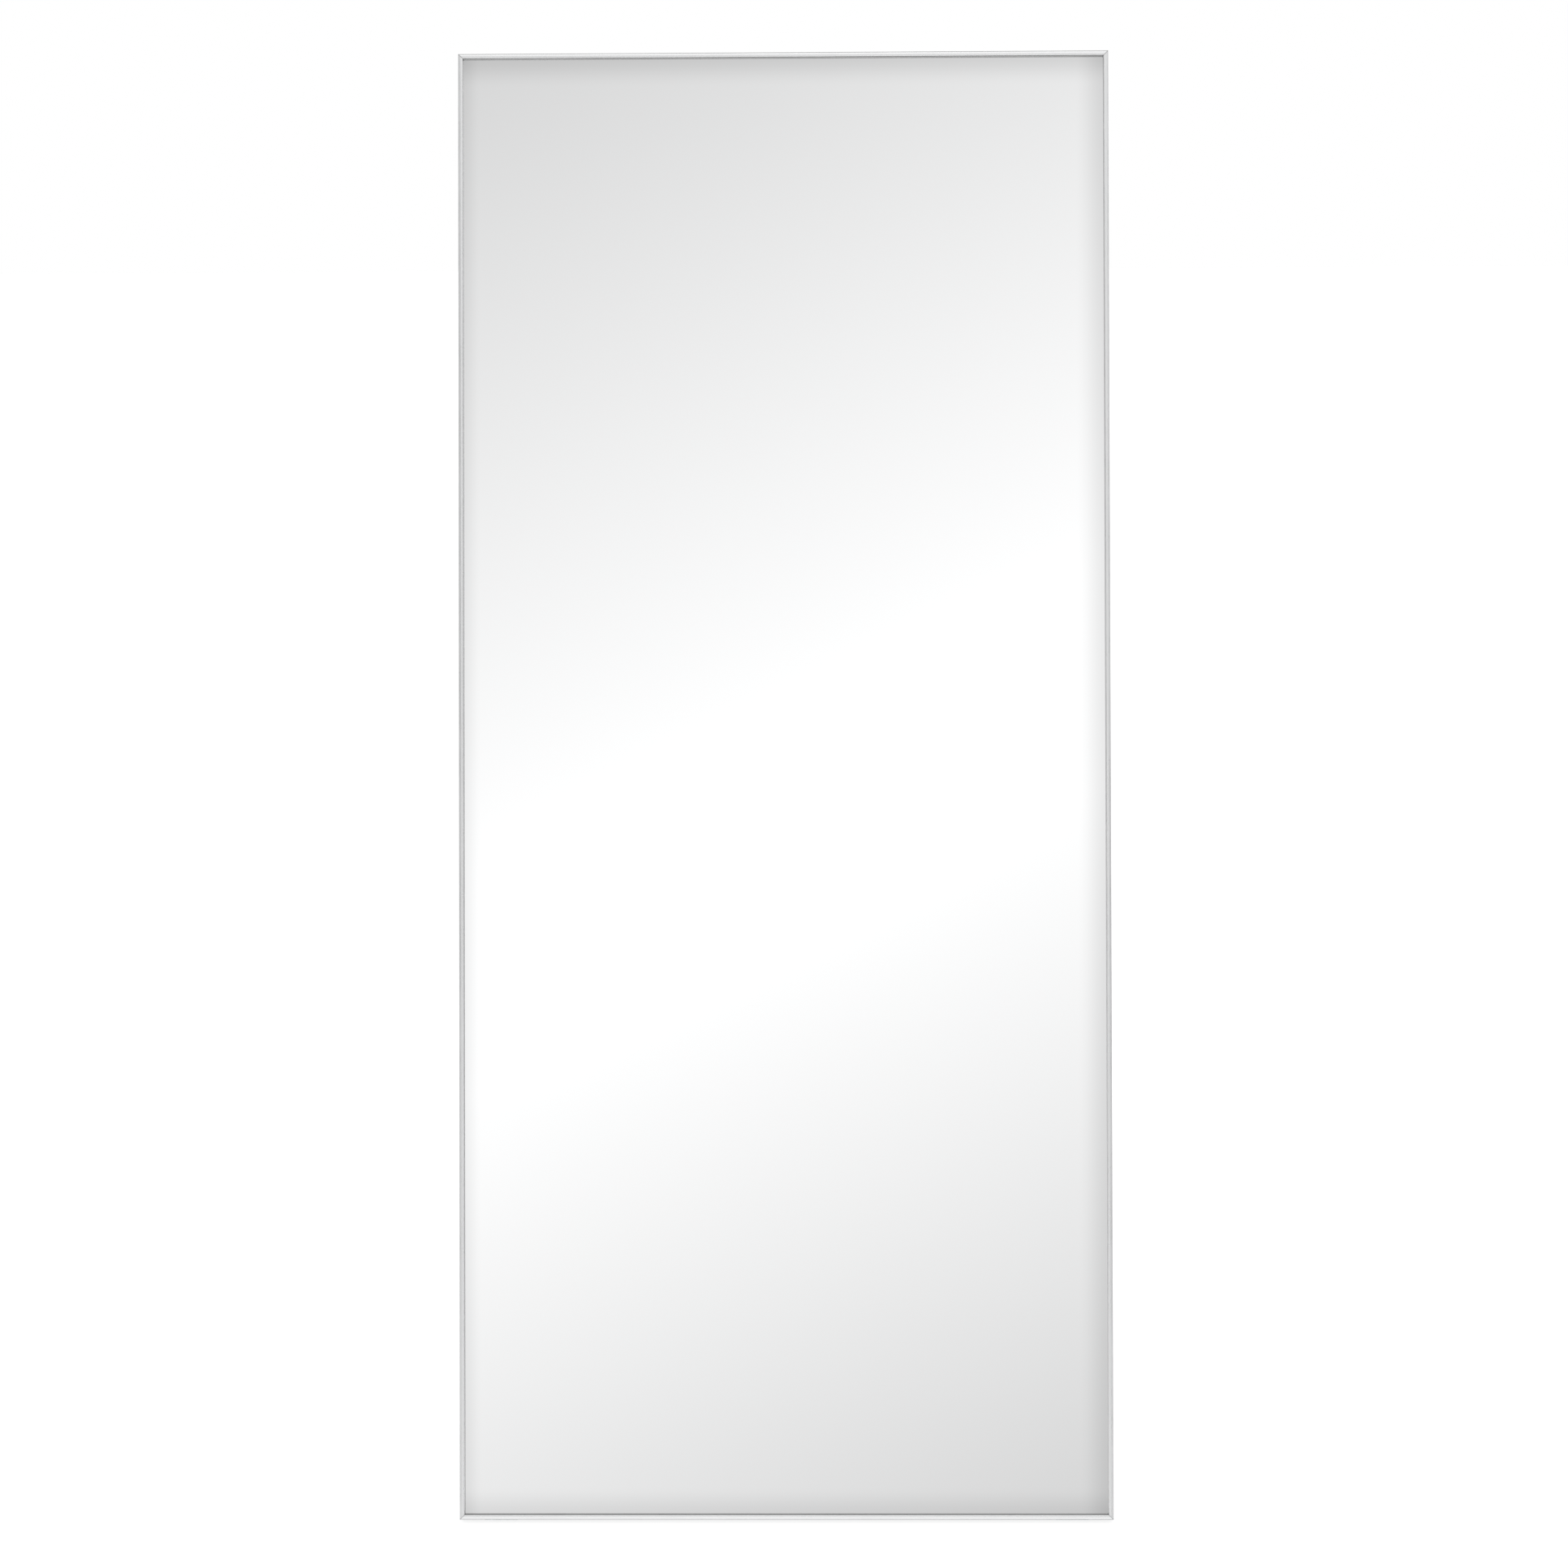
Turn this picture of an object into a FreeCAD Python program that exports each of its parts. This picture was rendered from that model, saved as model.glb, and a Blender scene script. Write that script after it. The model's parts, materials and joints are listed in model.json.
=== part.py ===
import FreeCAD, Part

import math
import os

# Full-length floor mirror: a thin aluminium frame round a sheet of mirror glass,
# held up from behind by a U-shaped tube stand that folds flat against the back.
#
# Every piece is first modelled on an upright panel, in millimetres: X across the width,
# Y from the front face towards the rear, Z up from the frame's bottom edge. The stand is
# modelled folded. It is then swung open to its stop, and the whole mirror leans back.
# The finished origin is the bottom centre of the overall box, on the floor.

# Panel and pose
WIDTH = 800.0
HEIGHT = 1800.0
DEPTH = 25.0
LEAN_DEG = 9.0

# How far a cutter runs past the piece it cuts
PAST = 1.0

# Frame extrusion: widths run inward from the outer edge, depths back from the front face
WALL = 1.6
LIP_WIDTH = 6.1
LIP_DEPTH = 6.4
LIP_WALL = 1.3
CROWN_DEG = 8.0
CROWN_R = 14.0
OUTER_EDGE_R = 1.0
INNER_EDGE_R = 1.2
REAR_WIDTH = 20.0
REAR_EDGE_R = 0.8
MITRE_GAP = 0.2

# The stack held in the frame's groove, front to back
GASKET_T = 0.6
GLASS_T = 4.0
FILM_T = 0.2
FOAM_T = 0.8
BOARD_T = 3.0
GLASS_INSET = 2.5
GLASS_SEAM = 0.5
FILM_INSET = 2.0
GASKET_SETBACK = 0.5
FOAM_BANDS = 7
FOAM_WIDTH = 25.0
FOAM_FROM_EDGE = 60.0
FOAM_FROM_SIDE = 30.0
GROOVE = GASKET_T + GLASS_T + FILM_T + FOAM_T + BOARD_T

# Corner keys and their screws
KEY_ARM = 46.0
KEY_CLEARANCE = 0.2
KEY_SCREW_AT = 34.0
KEY_SCREW_LENGTH = 7.5
KEY_CORNER_R = 1.5
KEY_END_R = 1.0
SCREW_HOLE_R = 2.0
SCREW_HEAD_R = 3.6
SCREW_HEAD_H = 2.2

# Pan-head screws: shares of the shank's radius, then of the head's radius and height
TIP_R_SHARE = 0.6
TIP_LENGTH_SHARE = 0.8
RECESS_SPAN_SHARE = 0.5
RECESS_DEPTH_SHARE = 0.55
HEAD_ROUND_SHARE = 0.6

# Hinge on the back of the side rails
HINGE_X = WIDTH / 2 - REAR_WIDTH / 2
HINGE_Y = 40.0
HINGE_Z = 1250.0
BOLT_R = 3.0
BOLT_TAIL = 7.0
BOLT_TIP_CHAMFER = 0.6
BOLT_HEAD_R = 5.4
BOLT_HEAD_H = 3.0
BOLT_HEAD_ROUND = 1.8
BOLT_KEY_FLATS = 4.0
BOLT_KEY_DEPTH = 1.8
NUT_FLATS = 10.0
NUT_H = 4.0
NUT_COLLAR_R = 4.6
NUT_COLLAR_H = 1.6
NUT_COLLAR_ROUND = 1.0
BUSH_BORE_R = 3.05
BUSH_R = 4.5
EAR_T = 2.0
EAR_INNER = 4.0
EAR_R = 9.0
BRACKET_T = 2.0
BRACKET_EDGE = 1.0
BRACKET_CORNER_R = 4.0
BRACKET_HALF_LENGTH = 40.0
BRACKET_SCREW_AT = 30.0
BRACKET_SCREW_LENGTH = 9.0
EAR_ROOT_HALF = 17.0
TONGUE_T = 5.0
TONGUE_RISE = 14.0
TONGUE_BACK_R = 9.0
THROAT_DROP = 7.0
THROAT_R = 3.0
HEEL_REACH = 11.5
HEEL_DROP = 1.0
HEEL_LOW_R = 2.0
HEEL_TOP_R = 1.0
WASHER_T = 1.4
WASHER_R = 7.0
STOP_GAP = 0.02

# Stand tube
TUBE_R = 8.0
TUBE_WALL = 1.2
TUBE_TOP = 20.0
SPIGOT_LENGTH = 30.0
COLLAR_H = 3.0
FITTING_EDGE_R = 1.0
BEND_R = 45.0
CROSSBAR_Z = 17.0
JOINT_X = 270.0
JOINT_GAP = 0.3
SLEEVE_R = TUBE_R - TUBE_WALL - 0.05
SLEEVE_HALF = 32.0
SLEEVE_WALL = 1.5
FOOT_R = 11.5
FOOT_SOLE = 10.0
FOOT_LENGTH = 32.0
FOOT_X = 322.0
FOOT_EDGE_R = 1.2
FOOT_GROOVES = 4
FOOT_GROOVE_PITCH = 6.0
FOOT_GROOVE_WIDTH = 1.8
FOOT_GROOVE_DEPTH = 0.9
FOOT_RIB_R = 0.4
RIVET_R = 1.6
RIVET_DROP = 36.0
RIVET_HEAD_R = 3.0
RIVET_HEAD_H = 1.0
RIVET_HEAD_SEAT = 0.6
RIVET_HEAD_ROUND = 0.9
TUBE_SCREW_R = 1.75
TUBE_SCREW_HEAD_R = 3.0
TUBE_SCREW_LENGTH = 3.2
TUBE_SCREW_SINK = 0.8
TUBE_SCREW_REACH = 5.0
TUBE_SCREW_OFFSETS = (-18.0, 14.0)

# Rubber bumpers on the rear of the side rails, where the folded legs come to rest
BUMPER_Z = 140.0
BUMPER_R = 6.5
BUMPER_GAP = 0.3
BUMPER_TAPER = 0.8
BUMPER_ROUND = 1.4

# Clear pads under the rear half of the bottom rail
PAD_FRONT_Y = 15.0
PAD_REAR_Y = 24.0
PAD_T = 1.2
PAD_LENGTH = 40.0
PAD_X = WIDTH / 2 - 50.0
PAD_EDGE_R = 0.3

X_AXIS = FreeCAD.Vector(1, 0, 0)
Y_AXIS = FreeCAD.Vector(0, 1, 0)
Z_AXIS = FreeCAD.Vector(0, 0, 1)
ORIGIN = FreeCAD.Vector(0, 0, 0)
CENTRE = FreeCAD.Vector(0, 0, HEIGHT / 2)
SIDES = {"left": -1, "right": 1}


def vec(x, y, z):
    return FreeCAD.Vector(x, y, z)


def box(x_range, y_range, z_range):
    """A block between two values on each axis."""
    lows = vec(x_range[0], y_range[0], z_range[0])
    size = vec(x_range[1], y_range[1], z_range[1]) - lows
    return Part.makeBox(size.x, size.y, size.z, lows)


def rounded_wire(corners, to_space):
    """A closed outline through corners (u, v, radius), each rounded by its radius."""
    flat = [FreeCAD.Vector(u, v, 0) for u, v, _ in corners]
    starts, mids, ends = [], [], []
    for i, (_, _, radius) in enumerate(corners):
        here = flat[i]
        back = (flat[i - 1] - here).normalize()
        ahead = (flat[(i + 1) % len(flat)] - here).normalize()
        half = back.getAngle(ahead) / 2
        reach = radius / math.tan(half)
        bisector = (back + ahead).normalize()
        starts.append(here + back * reach)
        ends.append(here + ahead * reach)
        mids.append(here + bisector * (radius / math.sin(half) - radius))
    edges = []
    for i, (_, _, radius) in enumerate(corners):
        points = [to_space(p.x, p.y) for p in (starts[i], mids[i], ends[i])]
        if radius > 0:
            edges.append(Part.Arc(*points).toShape())
        onward = starts[(i + 1) % len(starts)]
        if (onward - ends[i]).Length > 1e-6:
            edges.append(Part.makeLine(points[2], to_space(onward.x, onward.y)))
    return Part.Wire(Part.__sortEdges__(edges))


def solid_of(shape):
    """The shape's one solid, with its faces turned outwards."""
    (solid,) = shape.Solids
    if solid.Volume < 0:
        return solid.reversed()
    return solid


def plate(corners, x_range):
    """A rounded outline in the YZ plane, given thickness along X."""
    wire = rounded_wire(corners, lambda y, z: vec(x_range[0], y, z))
    return solid_of(Part.Face(wire).extrude(X_AXIS * (x_range[1] - x_range[0])))


def panel_plate(corners, y_range):
    """A rounded outline in the XZ plane, given thickness along Y."""
    wire = rounded_wire(corners, lambda x, z: vec(x, y_range[0], z))
    return solid_of(Part.Face(wire).extrude(Y_AXIS * (y_range[1] - y_range[0])))


def turned(corners, place, direction):
    """A turned piece: the outline (radius, height, corner radius) spun round its axis."""
    wire = rounded_wire(corners, lambda r, h: vec(r, 0, h))
    solid = solid_of(Part.Face(wire).revolve(ORIGIN, Z_AXIS, 360))
    turn = FreeCAD.Rotation(Z_AXIS, direction)
    solid.Placement = FreeCAD.Placement(place, turn)
    return solid


def rod(radius, start, along):
    """A round bar from a point, along a vector."""
    return Part.makeCylinder(radius, along.Length, start, along)


def mirrored(shape):
    """The same piece on the other side of the panel."""
    return shape.mirror(ORIGIN, X_AXIS)


def on_side(side, right_hand_piece):
    return right_hand_piece if side > 0 else mirrored(right_hand_piece)


def group(shapes):
    return Part.makeCompound([solid for shape in shapes for solid in shape.Solids])


# ---------------------------------------------------------------- fasteners


def cross_recess(solid, place, direction, span, depth):
    """A cross-shaped driver recess in a screw head whose outer face is at place."""
    arm = span / 4
    cutters = []
    for half_x, half_y in ((span, arm), (arm, span)):
        cutters.append(box((-half_x, half_x), (-half_y, half_y), (-depth, PAST)))
    for cutter in cutters:
        cutter.Placement = FreeCAD.Placement(place, FreeCAD.Rotation(Z_AXIS, direction))
        solid = solid.cut(cutter)
    return solid


def pan_screw(seat, direction, shank_r, length, head_r, head_h):
    """A pan-head screw; direction points from the seat out through the head."""
    outline = [
        (0, -length, 0),
        (shank_r * TIP_R_SHARE, -length, 0),
        (shank_r, -length + shank_r * TIP_LENGTH_SHARE, 0),
        (shank_r, 0, 0),
        (head_r, 0, 0),
        (head_r, head_h, head_h * HEAD_ROUND_SHARE),
        (0, head_h, 0),
    ]
    screw = turned(outline, seat, direction)
    top = seat + direction * head_h
    span, depth = head_r * RECESS_SPAN_SHARE, head_h * RECESS_DEPTH_SHARE
    return cross_recess(screw, top, direction, span, depth)


def hexagon(across_flats, x_range, centre_y, centre_z):
    """A hexagonal prism along X."""
    corner = across_flats / math.sqrt(3)
    corners = []
    for i in range(6):
        angle = math.radians(60 * i)
        corners.append((centre_y + corner * math.cos(angle), centre_z + corner * math.sin(angle), 0))
    return plate(corners, x_range)


# ---------------------------------------------------------------- frame


def key_screw_places():
    """Where the key screws pass through the rails, two near each corner."""
    near, far = REAR_WIDTH / 2, KEY_SCREW_AT
    places = []
    for side in SIDES.values():
        for in_x, in_z in ((near, far), (far, near)):
            x = side * (WIDTH / 2 - in_x)
            places += [(x, in_z), (x, HEIGHT - in_z)]
    return places


def bracket_screw_places():
    return [
        (side * HINGE_X, HINGE_Z + dz)
        for side in SIDES.values()
        for dz in (-BRACKET_SCREW_AT, BRACKET_SCREW_AT)
    ]


def rail_section(length):
    """The extrusion lying along X, outer edge at Z 0: a hollow front lip with a slightly
    crowned face, a groove for the glass stack and a box at the rear for the corner keys."""
    web = LIP_DEPTH + GROOVE
    slope = math.radians(CROWN_DEG)
    ridge = -CROWN_R * (1 / math.cos(slope) - 1)
    shoulder = ridge + LIP_WIDTH / 2 * math.tan(slope)
    outer = [
        (0, shoulder, OUTER_EDGE_R),
        (LIP_WIDTH / 2, ridge, CROWN_R),
        (LIP_WIDTH, shoulder, INNER_EDGE_R),
        (LIP_WIDTH, LIP_DEPTH, 0),
        (WALL, LIP_DEPTH, 0),
        (WALL, web, 0),
        (REAR_WIDTH, web, REAR_EDGE_R / 2),
        (REAR_WIDTH, DEPTH, REAR_EDGE_R),
        (0, DEPTH, REAR_EDGE_R),
    ]
    chambers = [
        ((WALL, LIP_WIDTH - LIP_WALL), (WALL, LIP_DEPTH - LIP_WALL)),
        ((WALL, REAR_WIDTH - WALL), (web + WALL, DEPTH - WALL)),
    ]
    bar = Part.Face(rounded_wire(outer, lambda a, y: vec(-length / 2, y, a)))
    bar = solid_of(bar.extrude(X_AXIS * length))
    for inward, depth in chambers:
        bar = bar.cut(box((-length / 2, length / 2), depth, inward))
    return solid_of(bar)


def rail(length, turn_deg, outer_edge):
    """One mitred rail, turned about Y and moved to its edge of the panel."""
    half = length / 2 - MITRE_GAP / 2
    deep = REAR_WIDTH + PAST
    mitre = [(-half, 0, 0), (half, 0, 0), (half - deep, deep, 0), (-half + deep, deep, 0)]
    solid = rail_section(length).common(panel_plate(mitre, (-PAST, DEPTH + PAST)))
    solid.rotate(ORIGIN, Y_AXIS, turn_deg)
    solid.translate(outer_edge)
    for x, z in key_screw_places() + bracket_screw_places():
        hole = rod(SCREW_HOLE_R, vec(x, DEPTH - WALL - PAST, z), vec(0, WALL + 2 * PAST, 0))
        solid = solid.cut(hole)
    return solid_of(solid)


def frame_rails():
    return {
        "bottom_rail": rail(WIDTH, 0, ORIGIN),
        "top_rail": rail(WIDTH, 180, vec(0, 0, HEIGHT)),
        "left_rail": rail(HEIGHT, 90, vec(-WIDTH / 2, 0, HEIGHT / 2)),
        "right_rail": rail(HEIGHT, -90, vec(WIDTH / 2, 0, HEIGHT / 2)),
    }


def corner_keys():
    """L-shaped cast keys inside the rails' rear box, drilled for the key screws."""
    near = WALL + KEY_CLEARANCE
    far = REAR_WIDTH - WALL - KEY_CLEARANCE
    left, bottom = -WIDTH / 2, 0
    outline = [
        (left + near, bottom + near, KEY_CORNER_R),
        (left + KEY_ARM, bottom + near, KEY_END_R),
        (left + KEY_ARM, bottom + far, KEY_END_R),
        (left + far, bottom + far, 0),
        (left + far, bottom + KEY_ARM, KEY_END_R),
        (left + near, bottom + KEY_ARM, KEY_END_R),
    ]
    front = LIP_DEPTH + GROOVE + WALL + KEY_CLEARANCE
    rear = DEPTH - WALL - KEY_CLEARANCE
    key = panel_plate(outline, (front, rear))
    for x, z in key_screw_places():
        through = vec(0, rear - front + 2 * PAST, 0)
        key = key.cut(rod(SCREW_HOLE_R, vec(x, front - PAST, z), through))
    top_left = key.mirror(CENTRE, Z_AXIS)
    return {
        "corner_key_bottom_left": key,
        "corner_key_bottom_right": mirrored(key),
        "corner_key_top_left": top_left,
        "corner_key_top_right": mirrored(top_left),
    }


def rear_screws(places, seat_y, length):
    return group(
        pan_screw(vec(x, seat_y, z), Y_AXIS, SCREW_HOLE_R, length, SCREW_HEAD_R, SCREW_HEAD_H)
        for x, z in places
    )


# ---------------------------------------------------------------- glass and backing


def sheet(inset, y_front, thickness):
    """A flat sheet a given distance inside the frame's outer edges."""
    half = WIDTH / 2 - inset
    return box((-half, half), (y_front, y_front + thickness), (inset, HEIGHT - inset))


def glass_stack():
    """The gasket, glass, film, foam tape and board that fill the groove."""
    glass_y = LIP_DEPTH + GASKET_T
    film_y = glass_y + GLASS_T
    foam_y = film_y + FILM_T
    board_y = foam_y + FOAM_T
    glass = sheet(GLASS_INSET, glass_y, GLASS_T)
    glass = glass.makeChamfer(GLASS_SEAM, glass.Edges)
    return {
        "glazing_gasket": gasket_strips(),
        "mirror_glass": glass,
        "safety_film": sheet(GLASS_INSET + FILM_INSET, film_y, FILM_T),
        "foam_tape": foam_strips(foam_y),
        "backing_board": sheet(GLASS_INSET, board_y, BOARD_T),
    }


def gasket_strips():
    """Four thin strips between the lip and the glass, set back from the lip's edge."""
    outer, inner = GLASS_INSET, LIP_WIDTH - GASKET_SETBACK
    depth = (LIP_DEPTH, LIP_DEPTH + GASKET_T)
    half = WIDTH / 2
    strips = [
        box((-half + inner, half - inner), depth, (outer, inner)),
        box((-half + inner, half - inner), depth, (HEIGHT - inner, HEIGHT - outer)),
        box((-half + outer, -half + inner), depth, (outer, HEIGHT - outer)),
        box((half - inner, half - outer), depth, (outer, HEIGHT - outer)),
    ]
    return group(strips)


def foam_strips(y_front):
    """Horizontal bands of double-sided foam tape that bed the glass on its board."""
    half = WIDTH / 2 - FOAM_FROM_SIDE
    depth = (y_front, y_front + FOAM_T)
    spacing = (HEIGHT - 2 * FOAM_FROM_EDGE) / (FOAM_BANDS - 1)
    strips = []
    for i in range(FOAM_BANDS):
        z = FOAM_FROM_EDGE + spacing * i
        strips.append(box((-half, half), depth, (z - FOAM_WIDTH / 2, z + FOAM_WIDTH / 2)))
    return group(strips)


def foot_pads():
    """Wedge pads under the bottom rail whose soles lie flat on the floor when it leans."""
    front_t = PAD_T + (PAD_REAR_Y - PAD_FRONT_Y) * math.tan(math.radians(LEAN_DEG))
    outline = [
        (PAD_FRONT_Y, 0, 0),
        (PAD_REAR_Y, 0, 0),
        (PAD_REAR_Y, -PAD_T, PAD_EDGE_R),
        (PAD_FRONT_Y, -front_t, PAD_EDGE_R),
    ]
    pad = plate(outline, (PAD_X - PAD_LENGTH / 2, PAD_X + PAD_LENGTH / 2))
    return {f"foot_pad_{name}": on_side(side, pad) for name, side in SIDES.items()}


def stand_bumpers():
    """Round rubber bumpers that stop just short of the folded legs."""
    height = HINGE_Y - TUBE_R - DEPTH - BUMPER_GAP
    tip = (BUMPER_R - BUMPER_TAPER, height, BUMPER_ROUND)
    outline = [(0, 0, 0), (BUMPER_R, 0, 0), tip, (0, height, 0)]
    bumper = turned(outline, vec(HINGE_X, DEPTH, BUMPER_Z), Y_AXIS)
    return {f"stand_bumper_{name}": on_side(side, bumper) for name, side in SIDES.items()}


# ---------------------------------------------------------------- hinge


def tangent_point(outside, centre, radius, turn):
    """Where a straight line from a point just touches a circle, on the chosen side."""
    reach = (outside - centre).Length
    angle = math.acos(radius / reach)
    direction = (outside - centre).normalize()
    spin = FreeCAD.Rotation(X_AXIS, math.degrees(angle) * turn)
    return centre + spin.multVec(direction) * radius


def ear(x_range):
    """One upright ear of the hinge bracket, tapering to a round end on the pivot."""
    pivot = vec(0, HINGE_Y, HINGE_Z)
    root = DEPTH + BRACKET_T / 2
    low, high = vec(0, root, HINGE_Z - EAR_ROOT_HALF), vec(0, root, HINGE_Z + EAR_ROOT_HALF)
    touch_low = tangent_point(low, pivot, EAR_R, 1)
    touch_high = tangent_point(high, pivot, EAR_R, -1)
    tip = vec(0, HINGE_Y + EAR_R, HINGE_Z)
    at_face = vec(x_range[0], 0, 0)
    edges = [
        Part.makeLine(low + at_face, touch_low + at_face),
        Part.Arc(touch_low + at_face, tip + at_face, touch_high + at_face).toShape(),
        Part.makeLine(touch_high + at_face, high + at_face),
        Part.makeLine(high + at_face, low + at_face),
    ]
    face = Part.Face(Part.Wire(edges))
    return solid_of(face.extrude(X_AXIS * (x_range[1] - x_range[0])))


def hinge_bracket():
    """A base plate with two ears, screwed to the rear of the right-hand rail."""
    half = REAR_WIDTH / 2 - BRACKET_EDGE
    bottom, top = HINGE_Z - BRACKET_HALF_LENGTH, HINGE_Z + BRACKET_HALF_LENGTH
    outline = [
        (HINGE_X - half, bottom, BRACKET_CORNER_R),
        (HINGE_X + half, bottom, BRACKET_CORNER_R),
        (HINGE_X + half, top, BRACKET_CORNER_R),
        (HINGE_X - half, top, BRACKET_CORNER_R),
    ]
    bracket = panel_plate(outline, (DEPTH, DEPTH + BRACKET_T))
    for sign in (-1, 1):
        inner, outer = HINGE_X + sign * EAR_INNER, HINGE_X + sign * (EAR_INNER + EAR_T)
        bracket = bracket.fuse(ear((min(inner, outer), max(inner, outer))))
    bracket = bracket.removeSplitter()
    bolt_hole = rod(BOLT_R, vec(HINGE_X - half, HINGE_Y, HINGE_Z), vec(2 * half, 0, 0))
    bracket = bracket.cut(bolt_hole)
    for dz in (-BRACKET_SCREW_AT, BRACKET_SCREW_AT):
        start = vec(HINGE_X, DEPTH - PAST, HINGE_Z + dz)
        bracket = bracket.cut(rod(SCREW_HOLE_R, start, vec(0, BRACKET_T + 2 * PAST, 0)))
    return solid_of(bracket)


def pivot_bolt():
    """A button-head bolt through both ears, its head on the outer side."""
    seat = HINGE_X + EAR_INNER + EAR_T
    tip = -2 * (EAR_INNER + EAR_T) - BOLT_TAIL
    outline = [
        (0, tip, 0),
        (BOLT_R - BOLT_TIP_CHAMFER, tip, 0),
        (BOLT_R, tip + BOLT_TIP_CHAMFER, 0),
        (BOLT_R, 0, 0),
        (BOLT_HEAD_R, 0, 0),
        (BOLT_HEAD_R, BOLT_HEAD_H, BOLT_HEAD_ROUND),
        (0, BOLT_HEAD_H, 0),
    ]
    bolt = turned(outline, vec(seat, HINGE_Y, HINGE_Z), X_AXIS)
    top = seat + BOLT_HEAD_H
    return bolt.cut(hexagon(BOLT_KEY_FLATS, (top - BOLT_KEY_DEPTH, top + PAST), HINGE_Y, HINGE_Z))


def pivot_nut():
    """A self-locking hexagon nut with its rounded collar, on the inner ear."""
    seat = HINGE_X - EAR_INNER - EAR_T
    nut = hexagon(NUT_FLATS, (seat - NUT_H, seat), HINGE_Y, HINGE_Z)
    collar = [
        (0, 0, 0),
        (NUT_COLLAR_R, 0, 0),
        (NUT_COLLAR_R, NUT_COLLAR_H, NUT_COLLAR_ROUND),
        (0, NUT_COLLAR_H, 0),
    ]
    nut = nut.fuse(turned(collar, vec(seat - NUT_H, HINGE_Y, HINGE_Z), -X_AXIS))
    height = NUT_H + NUT_COLLAR_H
    start = vec(seat - height - PAST, HINGE_Y, HINGE_Z)
    return nut.cut(rod(BOLT_R, start, vec(height + 2 * PAST, 0, 0)))


def ring(outer_r, bore_r, start, along):
    return rod(outer_r, start, along).cut(rod(bore_r, start, along))


def pivot_washers():
    """Nylon washers that fill the space between each ear and the tongue."""
    washers = []
    for sign in (-1, 1):
        seat = vec(HINGE_X + sign * EAR_INNER, HINGE_Y, HINGE_Z)
        washers.append(ring(WASHER_R, BUSH_BORE_R, seat, vec(-sign * WASHER_T, 0, 0)))
    return group(washers)


def hinge_pieces():
    washers, nut = pivot_washers(), pivot_nut()
    pieces = {
        "bracket_screws": rear_screws(
            bracket_screw_places(), DEPTH + BRACKET_T, BRACKET_SCREW_LENGTH
        ),
        "pivot_washers": group([washers, mirrored(washers)]),
        "pivot_nuts": group([nut, mirrored(nut)]),
    }
    for name, side in SIDES.items():
        pieces[f"hinge_bracket_{name}"] = on_side(side, hinge_bracket())
        pieces[f"pivot_bolt_{name}"] = on_side(side, pivot_bolt())
    return pieces


# ---------------------------------------------------------------- stand


def floor_level():
    """Height of the floor under the leaning panel, before the origin is moved to it."""
    lean = math.radians(LEAN_DEG)
    return -PAD_REAR_Y * math.sin(lean) - PAD_T * math.cos(lean)


def open_angle():
    """How far the stand swings from folded until its rubber feet stand on the floor."""
    lean = math.radians(LEAN_DEG)
    pivot_height = HINGE_Z * math.cos(lean) - HINGE_Y * math.sin(lean)
    drop = pivot_height - floor_level() - FOOT_SOLE
    leg = HINGE_Z - CROSSBAR_Z
    return lean + math.acos(drop / leg)


def end_fitting():
    """The leg's top end: a spigot in the tube, a collar, and a tongue with the pivot eye.
    The tongue's heel meets the bracket's base plate when the stand is fully open."""
    swing = open_angle()
    base_gap = HINGE_Y - DEPTH - BRACKET_T - STOP_GAP

    def heel(z):
        """Front of the heel at a height above the pivot, so that it lands flat."""
        return HINGE_Y - (base_gap - z * math.sin(swing)) / math.cos(swing)

    heel_low = (base_gap - HEEL_REACH * math.cos(swing)) / math.sin(swing)
    outline = [
        (HINGE_Y - TUBE_R, HINGE_Z - TUBE_TOP + PAST, 0),
        (HINGE_Y - TUBE_R, HINGE_Z - THROAT_DROP, THROAT_R),
        (HINGE_Y - HEEL_REACH, HINGE_Z - HEEL_DROP, HEEL_LOW_R),
        (HINGE_Y - HEEL_REACH, HINGE_Z + heel_low, 0),
        (heel(TONGUE_RISE), HINGE_Z + TONGUE_RISE, HEEL_TOP_R),
        (HINGE_Y + TUBE_R, HINGE_Z + TONGUE_RISE, TONGUE_BACK_R),
        (HINGE_Y + TUBE_R, HINGE_Z - TUBE_TOP + PAST, 0),
    ]
    tongue = plate(outline, (HINGE_X - TONGUE_T / 2, HINGE_X + TONGUE_T / 2))
    shank = [
        (0, -TUBE_TOP - SPIGOT_LENGTH, 0),
        (SLEEVE_R, -TUBE_TOP - SPIGOT_LENGTH, FITTING_EDGE_R),
        (SLEEVE_R, -TUBE_TOP, 0),
        (TUBE_R, -TUBE_TOP, 0),
        (TUBE_R, -TUBE_TOP + COLLAR_H, FITTING_EDGE_R),
        (0, -TUBE_TOP + COLLAR_H, 0),
    ]
    fitting = tongue.fuse(turned(shank, vec(HINGE_X, HINGE_Y, HINGE_Z), Z_AXIS))
    eye = rod(BUSH_R, vec(HINGE_X - TONGUE_T, HINGE_Y, HINGE_Z), vec(2 * TONGUE_T, 0, 0))
    return solid_of(fitting.cut(eye).cut(rivet_hole()))


def rivet_hole():
    """Right through the right-hand tube and its end fitting."""
    half = TUBE_R + PAST
    return rod(RIVET_R, vec(HINGE_X, HINGE_Y - half, HINGE_Z - RIVET_DROP), vec(0, 2 * half, 0))


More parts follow.
